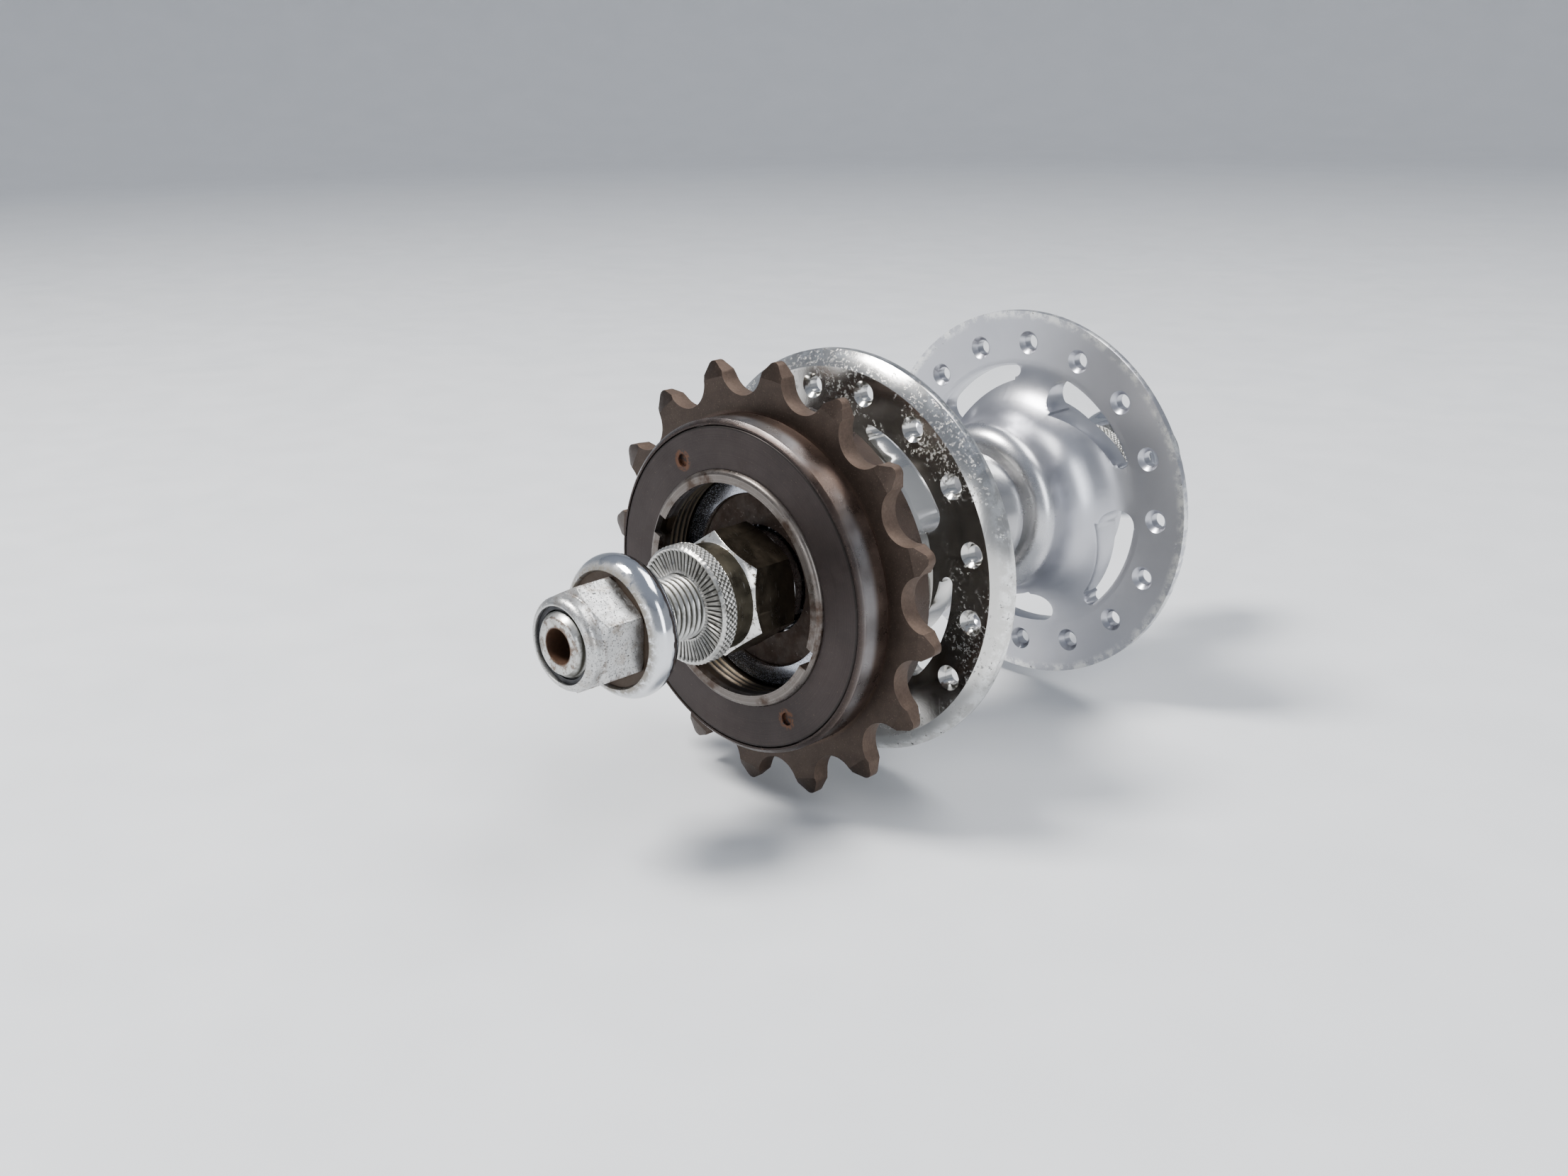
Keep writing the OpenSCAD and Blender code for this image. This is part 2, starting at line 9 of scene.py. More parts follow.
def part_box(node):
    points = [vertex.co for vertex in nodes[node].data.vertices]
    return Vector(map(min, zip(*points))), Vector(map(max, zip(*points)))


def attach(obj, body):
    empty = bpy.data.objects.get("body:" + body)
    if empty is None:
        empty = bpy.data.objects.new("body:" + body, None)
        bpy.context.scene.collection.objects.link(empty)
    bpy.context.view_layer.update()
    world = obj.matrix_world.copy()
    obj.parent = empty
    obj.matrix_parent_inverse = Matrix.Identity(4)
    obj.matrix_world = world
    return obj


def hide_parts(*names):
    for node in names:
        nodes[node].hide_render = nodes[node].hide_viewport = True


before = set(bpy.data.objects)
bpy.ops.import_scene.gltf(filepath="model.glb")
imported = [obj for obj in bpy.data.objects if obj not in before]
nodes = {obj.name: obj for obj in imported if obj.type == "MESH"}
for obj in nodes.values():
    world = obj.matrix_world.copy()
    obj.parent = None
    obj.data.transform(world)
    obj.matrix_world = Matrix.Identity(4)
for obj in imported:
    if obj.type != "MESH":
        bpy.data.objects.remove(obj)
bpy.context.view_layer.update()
MM = 0.001

# Places that materials and pieces are set out from
FLANGE_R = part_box("hub_shell")[1].x
BOSS_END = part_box("hub_shell")[0].y
COVER_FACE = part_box("freewheel_cover_ring")[0].y
COVER_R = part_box("freewheel_cover_ring")[1].x
AXLE_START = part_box("axle")[0].y
AXLE_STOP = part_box("axle")[1].y
NUT_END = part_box("right_axle_nut")[0].y
WASHER_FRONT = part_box("right_dome_washer")[0].y
FAR_WASHER_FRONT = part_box("left_dome_washer")[1].y
HEX_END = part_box("right_hex_spacer")[0].y + 3.7 * MM      # the hex ends here and the round nose starts
SPOKE_R = 27.5 * MM                                       # radius of the spoke-hole circle
NEAR_SIDE = -13 * MM                                      # chain-side flange and boss are below this y
BODY_R = 26.1 * MM                                        # freewheel's outer body, below the teeth
LIP_R = 18.5 * MM                                         # freewheel's worn lip
PIN_CIRCLE_R = 21.2 * MM
PIN_ANGLE = 150
AXLE_R = 5.0 * MM
AXLE_BORE_R = 2.6 * MM
FLOOR_Z = -35.2 * MM


# ---- node material helper -------------------------------------------------------------------

class Shade:
    """A node material. Each method adds nodes and returns an output socket."""

    def __init__(self, name):
        self.mat = bpy.data.materials.new(name)
        self.mat.use_nodes = True
        self.tree = self.mat.node_tree
        self.tree.nodes.clear()
        self.out = self.add("ShaderNodeOutputMaterial")
        self.shader = self.add("ShaderNodeBsdfPrincipled")
        self.tree.links.new(self.shader.outputs[0], self.out.inputs["Surface"])
        self.coords = self.add("ShaderNodeTexCoord").outputs["Object"]
        parts = self.add("ShaderNodeSeparateXYZ", {0: self.coords})
        x, self.y, z = parts.outputs
        flat = self.add("ShaderNodeCombineXYZ", {0: x, 2: z})
        length = self.add("ShaderNodeVectorMath", {0: flat.outputs[0]}, operation="LENGTH")
        self.r = length.outputs["Value"]
        normal = self.add("ShaderNodeNewGeometry").outputs["Normal"]
        self.ny = self.math("ABSOLUTE", self.add("ShaderNodeSeparateXYZ", {0: normal}).outputs[1])

    def add(self, kind, inputs=(), **props):
        node = self.tree.nodes.new(kind)
        for key, value in props.items():
            setattr(node, key, value)
        for key, value in dict(inputs).items():
            if isinstance(value, bpy.types.NodeSocket):
                self.tree.links.new(value, node.inputs[key])
            else:
                node.inputs[key].default_value = value
        return node

    def math(self, operation, a, b=0.0):
        return self.add("ShaderNodeMath", {0: a, 1: b}, operation=operation).outputs[0]

    def times(self, a, b):
        return self.math("MULTIPLY", a, b)

    def plus(self, a, b):
        return self.math("ADD", a, b)

    def either(self, a, b):
        return self.math("MAXIMUM", a, b)

    def without(self, mask):
        """1 where the mask is 0, and 0 where it is 1."""
        return self.math("SUBTRACT", 1.0, mask)

    def noise(self, scale, detail=4.0, rough=0.55, stretch=(1, 1, 1), warp=0.0):
        vector = self.coords
        if stretch != (1, 1, 1):
            vector = self.add("ShaderNodeMapping", {"Vector": vector, "Scale": stretch}).outputs[0]
        node = self.add("ShaderNodeTexNoise", {
            "Vector": vector, "Scale": scale, "Detail": detail, "Roughness": rough, "Distortion": warp})
        return node.outputs[0]

    def rings(self, scale, detail=3.0):
        """Fine turning marks: noise that only changes with the distance from the axle."""
        vector = self.add("ShaderNodeCombineXYZ", {0: self.r, 1: self.times(self.y, 0.6)})
        node = self.add("ShaderNodeTexNoise", {
            "Vector": vector.outputs[0], "Scale": scale, "Detail": detail})
        return node.outputs[0]

    def span(self, value, low, high, to_low=0.0, to_high=1.0):
        """value mapped from low..high to to_low..to_high, with smooth ends."""
        node = self.add("ShaderNodeMapRange", {
            "Value": value, "From Min": low, "From Max": high, "To Min": to_low, "To Max": to_high})
        node.interpolation_type = "SMOOTHSTEP"
        return node.outputs[0]

    def below(self, value, low, high):
        """1 where value is under low, fading to 0 at high."""
        return self.span(value, low, high, 1.0, 0.0)

    def uneven(self, low, high, *noise):
        """A value that wanders between low and high."""
        return self.span(self.noise(*noise), 0.3, 0.7, low, high)

    def band(self, value, low, high, soft):
        """1 from low to high, with soft ends."""
        rise = self.span(value, low - soft, low + soft)
        fall = self.below(value, high - soft, high + soft)
        return self.times(rise, fall)

    def both(self, *masks):
        """1 only where every mask is 1."""
        result = masks[0]
        for mask in masks[1:]:
            result = self.times(result, mask)
        return result

    def mix(self, factor, a, b):
        node = self.add("ShaderNodeMix", data_type="RGBA")
        for socket, value in ((0, factor), (6, a), (7, b)):
            if isinstance(value, bpy.types.NodeSocket):
                self.tree.links.new(value, node.inputs[socket])
            else:
                node.inputs[socket].default_value = value if socket == 0 else (*value, 1.0)
        return node.outputs[2]

    def blend(self, factor, a, b):
        node = self.add("ShaderNodeMix", {0: factor, 2: a, 3: b}, data_type="FLOAT")
        return node.outputs[0]

    def attribute(self, name):
        return self.add("ShaderNodeAttribute", attribute_name=name).outputs["Fac"]

    def bump(self, height, depth, strength=0.6, normal=None):
        inputs = {"Height": height, "Distance": depth, "Strength": strength}
        if normal is not None:
            inputs["Normal"] = normal
        return self.add("ShaderNodeBump", inputs).outputs[0]

    def finish(self, **sockets):
        for key, value in sockets.items():
            socket = self.shader.inputs[key.replace("_", " ")]
            if isinstance(value, bpy.types.NodeSocket):
                self.tree.links.new(value, socket)
            else:
                socket.default_value = value
        return self.mat


# ---- materials ------------------------------------------------------------------------------

GRIME = (0.022, 0.018, 0.013)
OLIVE = (0.06, 0.05, 0.025)


def alloy():
    """The shell: polished chain-side flange whose flat face carries a painted shadow and painted reflection,
    satin far flange, bright housings.
    """
    s = Shade("alloy")
    satin = s.span(s.y, 0.0, 24 * MM)
    cloud = s.noise(70, 3)
    near = s.below(s.y, NEAR_SIDE - 1 * MM, NEAR_SIDE + 1 * MM)
    tint = s.mix(cloud, (0.52, 0.51, 0.49), (0.70, 0.69, 0.66))
    # The near flange's flat face is painted darker: a painted shadow of the freewheel and a painted
    # reflection of the dark sprocket.
    inside_bevel = s.below(s.r, FLANGE_R - 3.0 * MM, FLANGE_R - 2.4 * MM)
    face = s.both(near, s.span(s.ny, 0.90, 0.97), inside_bevel)
    tint = s.mix(face, tint, s.mix(s.noise(45, 4), (0.36, 0.35, 0.335), (0.60, 0.585, 0.56)))
    far_tint = s.mix(cloud, (0.43, 0.44, 0.48), (0.58, 0.58, 0.61))
    colour = s.mix(satin, tint, far_tint)
    scratch = s.span(s.noise(260, 6, 0.7, (9, 1, 0.35), 0.6), 0.60, 0.72)
    cross = s.span(s.noise(300, 6, 0.7, (0.4, 1, 10), 0.5), 0.62, 0.74)
    marks = s.either(scratch, cross)
    rim = s.span(s.r, FLANGE_R - 1.8 * MM, FLANGE_R - 0.5 * MM)
    worn = s.both(rim, s.span(s.noise(420, 5, 0.7), 0.42, 0.60))
    colour = s.mix(worn, colour, (0.88, 0.88, 0.86))
    speck = s.span(s.noise(1500, 5, 0.75), 0.56, 0.63)
    patch = s.span(s.noise(120, 3), 0.46, 0.62)
    hole_zone = s.band(s.r, SPOKE_R - 4.0 * MM, SPOKE_R + 4.3 * MM, 2 * MM)
    dirt = s.both(near, hole_zone, speck, patch)
    nick = s.both(rim, s.span(s.noise(900, 4, 0.8), 0.62, 0.68))
    boss_end = s.below(s.y, BOSS_END + 0.1 * MM, BOSS_END + 0.7 * MM)
    end_face = s.both(boss_end, s.span(s.noise(5200, 4, 0.7), 0.58, 0.64))
    colour = s.mix(boss_end, colour, s.mix(s.rings(4200), (0.26, 0.27, 0.31), (0.50, 0.52, 0.57)))
    dark = s.either(s.either(dirt, nick), end_face)
    colour = s.mix(dark, colour, GRIME)
    rough = s.blend(satin, 0.11, 0.25)
    rough = s.plus(rough, s.times(s.noise(520, 5, 0.7), 0.12))
    rough = s.plus(rough, s.times(dark, 0.45))
    fine = s.plus(s.times(marks, -0.5), s.noise(2600, 3))
    normal = s.bump(fine, 0.012 * MM, 0.35)
    normal = s.bump(s.times(dark, -1.0), 0.08 * MM, 0.7, normal)
    return s.finish(Base_Color=colour, Metallic=s.without(dark), Roughness=rough, Normal=normal)


def zinc():
    """Zinc-plated nuts: white satin, peppered with dark pits, grimy in the corners."""
    s = Shade("zinc")
    cloud = s.noise(240, 4)
    colour = s.mix(cloud, (0.40, 0.40, 0.395), (0.62, 0.62, 0.61))
    pits = s.span(s.noise(3800, 4, 0.7), 0.565, 0.62)
    patch = s.span(s.noise(330, 4, 0.7), 0.52, 0.66)
    corner = s.band(s.r, 7.8 * MM, 9.2 * MM, 0.4 * MM)
    collar = s.band(s.y, NUT_END + 1.7 * MM, NUT_END + 2.6 * MM, 0.3 * MM)
    seam = s.either(corner, collar)
    grime = s.both(seam, s.span(s.noise(700, 5, 0.7), 0.46, 0.58))
    colour = s.mix(s.times(patch, 0.45), colour, (0.26, 0.20, 0.14))
    colour = s.mix(s.times(grime, 0.8), colour, (0.09, 0.055, 0.03))
    colour = s.mix(s.times(pits, 0.85), colour, (0.03, 0.03, 0.03))
    rough = s.uneven(0.28, 0.46, 900, 4)
    normal = s.bump(s.math("SUBTRACT", s.noise(2200, 4, 0.7), pits), 0.035 * MM, 0.6)
    metal = s.without(s.times(s.either(pits, grime), 0.7))
    return s.finish(Base_Color=colour, Metallic=metal, Roughness=rough, Normal=normal)


def chrome():
    """The rounded washers: mirror rim, mottled dull band and a dark groove round the nut."""
    s = Shade("chrome")
    colour = s.mix(s.noise(160, 3), (0.58, 0.60, 0.63), (0.76, 0.77, 0.79))
    near_front = s.below(s.y, WASHER_FRONT + 0.85 * MM, WASHER_FRONT + 2.45 * MM)
    far_front = s.span(s.y, FAR_WASHER_FRONT - 2.45 * MM, FAR_WASHER_FRONT - 0.85 * MM)
    front = s.either(near_front, far_front)
    flat = s.both(front, s.below(s.r, 9.1 * MM, 10.2 * MM))
    mottled = s.both(flat, s.span(s.noise(900, 6, 0.75), 0.34, 0.54))
    spots = s.span(s.noise(2400, 4, 0.75), 0.66, 0.72)
    groove = s.both(front, s.below(s.r, 8.4 * MM, 9.0 * MM))
    colour = s.mix(s.times(mottled, 0.8), colour, (0.14, 0.115, 0.07))
    colour = s.mix(s.times(spots, 0.7), colour, (0.10, 0.09, 0.07))
    colour = s.mix(groove, colour, (0.05, 0.032, 0.02))
    dull = s.either(mottled, groove)
    rough = s.plus(s.uneven(0.06, 0.15, 700, 4), s.times(dull, 0.40))
    normal = s.bump(s.noise(1500, 4, 0.7), 0.02 * MM, 0.35)
    return s.finish(Base_Color=colour, Metallic=s.without(s.times(dull, 0.5)),
                    Roughness=rough, Normal=normal)


def cut_steel(name, bright, valley, bright_rough=0.28):
    """Threaded, knurled or serrated steel. The mesh stores how deep each point is in 'depth'."""
    s = Shade(name)
    deep = s.span(s.attribute("depth"), 0.35, 0.85)
    patch = s.span(s.noise(420, 5, 0.7), 0.50, 0.70)
    colour = s.mix(s.noise(1300, 4), tuple(0.72 * c for c in bright), bright)
    colour = s.mix(s.times(patch, 0.6), colour, OLIVE)
    colour = s.mix(deep, colour, valley)
    bore = s.below(s.r, AXLE_BORE_R, AXLE_BORE_R + 0.4 * MM)
    colour = s.mix(bore, colour, s.mix(s.noise(600, 5, 0.7), (0.018, 0.009, 0.006), (0.11, 0.05, 0.024)))
    end_face = s.below(s.y, AXLE_START + 0.1 * MM, AXLE_START + 0.3 * MM)
    end = s.both(end_face, s.span(s.noise(800, 5, 0.7), 0.50, 0.60))
    colour = s.mix(s.times(end, 0.8), colour, (0.13, 0.08, 0.05))
    dull = s.either(deep, bore)
    rough = s.plus(s.times(dull, 0.35), s.uneven(bright_rough, 0.45, 1100, 4))
    normal = s.bump(s.noise(3000, 4, 0.7), 0.02 * MM, 0.5)
    return s.finish(Base_Color=colour, Metallic=s.without(s.times(dull, 0.6)),
                    Roughness=rough, Normal=normal)


def spacer_steel():
    """The hex spacer: bronze-dark flats, bright corner facets, a greasy nose."""
    s = Shade("spacer_steel")
    colour = s.mix(s.noise(380, 5, 0.7), (0.035, 0.028, 0.020), (0.15, 0.12, 0.085))
    nose = s.both(s.below(s.y, HEX_END - 0.1 * MM, HEX_END + 0.1 * MM), s.below(s.ny, 0.3, 0.6))
    colour = s.mix(nose, colour, s.mix(s.noise(700, 5, 0.7), (0.040, 0.034, 0.024), (0.12, 0.105, 0.075)))
    corner = s.band(s.y, HEX_END - 0.05 * MM, HEX_END + 1.3 * MM, 0.1 * MM)
    facet = s.both(corner, s.band(s.ny, 0.2, 0.9, 0.05))
    facet = s.both(facet, s.span(s.noise(900, 4, 0.7), 0.35, 0.50))
    scrape = s.span(s.noise(300, 6, 0.75, (1, 7, 1), 0.4), 0.60, 0.70)
    bright = s.either(facet, s.times(scrape, 0.35))
    colour = s.mix(bright, colour, (0.72, 0.71, 0.68))
    rough = s.blend(bright, s.uneven(0.26, 0.48, 500, 4), 0.2)
    normal = s.bump(s.noise(1500, 5, 0.7), 0.03 * MM, 0.5)
    return s.finish(Base_Color=colour, Metallic=0.9, Roughness=rough, Normal=normal)


def cover_steel():
    """The cover ring: purple-brown and satin, with rusty pin holes."""
    s = Shade("cover_steel")
    colour = s.mix(s.noise(130, 4, 0.6), (0.016, 0.012, 0.012), (0.036, 0.026, 0.024))
    colour = s.mix(s.times(s.rings(5200), 0.22), colour, (0.09, 0.075, 0.07))
    dust = s.span(s.noise(3200, 4, 0.75), 0.63, 0.70)
    colour = s.mix(s.times(dust, 0.5), colour, (0.12, 0.085, 0.065))
    for turn in (0, 180):
        angle = math.radians(PIN_ANGLE + turn)
        centre = (PIN_CIRCLE_R * math.sin(angle), COVER_FACE, PIN_CIRCLE_R * math.cos(angle))
        away = s.add("ShaderNodeVectorMath", {0: s.coords, 1: centre}, operation="DISTANCE").outputs["Value"]
        ring = s.both(s.below(away, 1.4 * MM, 1.9 * MM), s.span(s.noise(1500, 4), 0.38, 0.55))
        colour = s.mix(ring, colour, (0.085, 0.038, 0.02))
    edge = s.band(s.r, COVER_R - 0.35 * MM, COVER_R + 0.35 * MM, 0.1 * MM)
    colour = s.mix(s.times(edge, 0.6), colour, (0.008, 0.007, 0.006))
    rough = s.uneven(0.34, 0.52, 240, 5, 0.65)
    normal = s.bump(s.noise(1700, 5, 0.75), 0.03 * MM, 0.5)
    return s.finish(Base_Color=colour, Metallic=0.75, Roughness=rough, Normal=normal)


def body_steel():
    """The turning body and its teeth: heat-browned, with blue heat tint and a painted highlight on the
    shoulder, and grainy tooth edges partly lightened by painted sunlight.
    """
    s = Shade("body_steel")
    brown = s.mix(s.noise(150, 5, 0.65), (0.032, 0.022, 0.018), (0.095, 0.064, 0.050))
    # Blue-silver patches round the shoulder behind the cover: partly heat tint, partly a painted highlight.
    blue = s.mix(s.noise(110, 4, 0.6), (0.12, 0.11, 0.115), (0.28, 0.265, 0.255))
    shoulder = s.band(s.y, COVER_FACE + 0.4 * MM, COVER_FACE + 3.0 * MM, 0.8 * MM)
    heat_tint_and_highlight = s.both(shoulder, s.span(s.noise(60, 3), 0.36, 0.60))
    colour = s.mix(heat_tint_and_highlight, brown, blue)
    end = s.below(s.y, COVER_FACE + 0.4 * MM, COVER_FACE + 0.6 * MM)
    front = s.both(end, s.span(s.ny, 0.5, 0.9))
    colour = s.mix(front, colour, (0.030, 0.022, 0.020))
    teeth = s.span(s.r, BODY_R + 0.1 * MM, BODY_R + 0.7 * MM)
    side = s.mix(s.noise(320, 5, 0.7), (0.022, 0.016, 0.013), (0.066, 0.047, 0.037))
    # Tooth flanks are lighter than the sides: partly their grainy cut finish, partly painted sunlight.
    grainy_and_sunlit_flank = s.mix(s.noise(1700, 5, 0.8), (0.055, 0.037, 0.028), (0.17, 0.122, 0.095))
    tooth = s.mix(s.span(s.ny, 0.55, 0.92), grainy_and_sunlit_flank, side)
    colour = s.mix(teeth, colour, tooth)
    grain = s.span(s.noise(3400, 4, 0.8), 0.58, 0.68)
    colour = s.mix(s.times(grain, 0.5), colour, (0.17, 0.122, 0.095))
    tooth_rough = s.span(s.ny, 0.55, 0.92, 0.62, 0.40)
    rough = s.blend(teeth, s.uneven(0.24, 0.40, 300, 4), tooth_rough)
    normal = s.bump(s.noise(2100, 5, 0.8), 0.05 * MM, 0.55)
    return s.finish(Base_Color=colour, Metallic=0.85, Roughness=rough, Normal=normal)


def lip_steel():
    """The freewheel's inner body: worn streaky lip, greasy black bore."""
    s = Shade("lip_steel")
    worn = s.mix(s.rings(6800), (0.045, 0.034, 0.028), (0.22, 0.20, 0.185))
    brown = s.span(s.noise(190, 5, 0.65), 0.48, 0.66)
    colour = s.mix(brown, worn, (0.050, 0.032, 0.023))
    behind_face = s.span(s.y, COVER_FACE + 0.1 * MM, COVER_FACE + 0.6 * MM)
    inside = s.both(behind_face, s.below(s.r, LIP_R - 0.3 * MM, LIP_R - 0.1 * MM))
    greasy = s.mix(s.noise(420, 5, 0.7), (0.010, 0.009, 0.008), (0.07, 0.045, 0.025))
    colour = s.mix(inside, colour, greasy)
    rough = s.blend(inside, s.uneven(0.24, 0.42, 500, 4), 0.5)
    normal = s.bump(s.rings(5200), 0.03 * MM, 0.5)
    return s.finish(Base_Color=colour, Metallic=0.8, Roughness=rough, Normal=normal)


def rusty():
    s = Shade("rusty")
    colour = s.mix(s.noise(420, 6, 0.75), (0.010, 0.007, 0.005), (0.055, 0.030, 0.018))
    colour = s.mix(s.span(s.noise(1600, 4), 0.62, 0.70), colour, (0.10, 0.08, 0.07))
    normal = s.bump(s.noise(1400, 6, 0.8), 0.08 * MM, 0.7)
    rough = s.uneven(0.5, 0.85, 600, 4)
    return s.finish(Base_Color=colour, Metallic=0.35, Roughness=rough, Normal=normal)


def plain_steel(name, low, high, rough_low, rough_high, metallic=1.0):
    s = Shade(name)
    colour = s.mix(s.noise(600, 5, 0.7), low, high)
    colour = s.mix(s.times(s.rings(6000), 0.3), colour, tuple(0.6 * c for c in low))
    rough = s.uneven(rough_low, rough_high, 900, 4)
    normal = s.bump(s.noise(2200, 4, 0.7), 0.015 * MM, 0.5)
    return s.finish(Base_Color=colour, Metallic=metallic, Roughness=rough, Normal=normal)


def floor_cloth():
    s = Shade("pale_floor")
    colour = s.mix(s.noise(30, 5), (0.66, 0.68, 0.70), (0.74, 0.75, 0.77))
    normal = s.bump(s.noise(900, 4), 0.05 * MM, 0.3)
    return s.finish(Base_Color=colour, Metallic=0.0, Roughness=s.uneven(0.55, 0.7, 60),
                    Normal=normal)


ALLOY = alloy()
ZINC = zinc()
CHROME = chrome()
THREAD = cut_steel("thread_steel", (0.60, 0.60, 0.58), (0.035, 0.032, 0.022))
KNURL = cut_steel("knurled_steel", (0.60, 0.59, 0.56), (0.028, 0.025, 0.020), 0.22)
BORE_THREAD = cut_steel("bore_thread", (0.060, 0.048, 0.036), (0.006, 0.005, 0.004), 0.35)
SPACER = spacer_steel()
COVER = cover_steel()
BODY = body_steel()
LIP = lip_steel()
RUSTY = rusty()
HARD = plain_steel("hardened_steel", (0.42, 0.42, 0.43), (0.62, 0.62, 0.63), 0.16, 0.34)
BALL = plain_steel("ball_steel", (0.66, 0.67, 0.69), (0.80, 0.80, 0.82), 0.05, 0.16)
DARK = plain_steel("dark_insert", (0.012, 0.013, 0.016), (0.045, 0.045, 0.05), 0.40, 0.6, 0.3)
SPRING = plain_steel("spring_steel", (0.22, 0.21, 0.20), (0.40, 0.38, 0.36), 0.25, 0.4)

FINISHES = {
    "hub_shell": (ALLOY, "polished_alloy"),
    "right_cone": (HARD, "axle_steel"),
    "left_cone": (HARD, "axle_steel"),
    "right_hex_spacer": (SPACER, "greasy_steel"),
    "left_spacer": (HARD, "axle_steel"),
    "right_dome_washer": (CHROME, "chrome_plate"),
    "left_dome_washer": (CHROME, "chrome_plate"),
    "right_axle_nut": (ZINC, "zinc_plate"),
    "left_axle_nut": (ZINC, "zinc_plate"),
    "right_nut_insert": (DARK, "dark_insert"),
    "left_nut_insert": (DARK, "dark_insert"),
    "right_cup": (HARD, "bearing_steel"),
    "left_cup": (HARD, "bearing_steel"),
    "right_dust_cap": (RUSTY, "rusty_steel"),
    "left_dust_cap": (HARD, "bearing_steel"),
    "freewheel_inner_body": (LIP, "browned_steel"),
    "freewheel_cover_ring": (COVER, "browned_steel"),
    "freewheel_shim": (HARD, "bearing_steel"),
    "pawl_springs": (SPRING, "bearing_steel"),
    "sprocket": (BODY, "browned_steel"),
    "pawl_a": (HARD, "bearing_steel"),
    "pawl_b": (HARD, "bearing_steel"),
    "right_hub_balls": (BALL, "bearing_steel"),
    "left_hub_balls": (BALL, "bearing_steel"),
    "freewheel_front_balls": (BALL, "bearing_steel"),
    "freewheel_rear_balls": (BALL, "bearing_steel"),
}

# width in mm of the small rounding on each piece's edges
EDGE_ROUNDING = {
    "hub_shell": 0.22,
    "sprocket": 0.22,
    "freewheel_cover_ring": 0.15,
    "freewheel_inner_body": 0.18,
    "right_axle_nut": 0.22,
    "left_axle_nut": 0.22,
    "right_hex_spacer": 0.18,
}


def dress_cad_nodes():
    for name, (material, slot) in FINISHES.items():
        obj = nodes[name]
        obj.data.materials.clear()
        obj.data.materials.append(material)
        if name in EDGE_ROUNDING:
            weld = obj.modifiers.new("weld", "WELD")
            weld.merge_threshold = 0.002 * MM
            bevel = obj.modifiers.new("edges", "BEVEL")
            bevel.width = EDGE_ROUNDING[name] * MM
            bevel.segments = 2
            bevel.limit_method = "ANGLE"
            bevel.angle_limit = math.radians(32)


# ---- detailed turned pieces -----------------------------------------------------------------

def wave(turns):
    """Triangle wave: 0 at whole numbers, 1 half way between."""
    return abs(2 * (turns % 1.0) - 1)


def turned_piece(name, profile, segments, relief, material, body):
    """A closed solid of revolution about the axle. profile is a loop of (radius, y, zone) in mm, and
    relief(zone, radius, y, turn) gives that point's (radius change, y change, depth from 0 to 1)."""
    verts, depths, faces = [], [], []
    for radius, y, zone in profile:
        for j in range(segments):
            turn = j / segments
            dr, dy, depth = relief(zone, radius, y, turn)
            angle = 2 * math.pi * turn
            rr = (radius + dr) * MM
            verts.append((rr * math.sin(angle), (y + dy) * MM, rr * math.cos(angle)))
            depths.append(depth)
    rows = len(profile)
    for i in range(rows):
        a, b = i * segments, (i + 1) % rows * segments
        for j in range(segments):
            k = (j + 1) % segments
            faces.append((a + j, a + k, b + k, b + j))
    mesh = bpy.data.meshes.new(name)
    mesh.from_pydata(verts, [], faces)
    mesh.validate()
    layer = mesh.attributes.new("depth", "FLOAT", "POINT")
    layer.data.foreach_set("value", depths)
    mesh.shade_smooth()
    mesh.set_sharp_from_angle(angle=math.radians(48))
    mesh.materials.append(material)
    obj = bpy.data.objects.new(name, mesh)
    bpy.context.scene.collection.objects.link(obj)
    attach(obj, body)
    return obj


def steps(start, stop, step):
    count = max(1, round(abs(stop - start) / step))
    return [start + (stop - start) * i / count for i in range(count + 1)]


def threaded_axle():
    pitch, depth, threaded_length = 1.0, 0.52, 28.0
    chamfer, radius, bore = 0.9, AXLE_R / MM, AXLE_BORE_R / MM
    start, stop = AXLE_START / MM, AXLE_STOP / MM
    thread_from, thread_to = start + threaded_length, stop - threaded_length

    def relief(zone, r, y, turn):
        if zone != "thread":
            return 0, 0, 0
        low = wave(y / pitch + turn)
        return -depth * low, 0, low

    profile = [(bore, start, ""), (radius - chamfer, start, "")]
    profile += [(radius, y, "thread") for y in steps(start + chamfer, thread_from, 0.2)]
    profile += [(radius - 0.05, thread_from + 0.3, ""), (radius - 0.05, thread_to - 0.3, "")]
    profile += [(radius, y, "thread") for y in steps(thread_to, stop - chamfer, 0.2)]
    profile += [(radius - chamfer, stop, ""), (bore, stop, "")]
    obj = turned_piece("axle_threaded", profile, 64, relief, THREAD, "axle_set")
    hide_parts("axle")


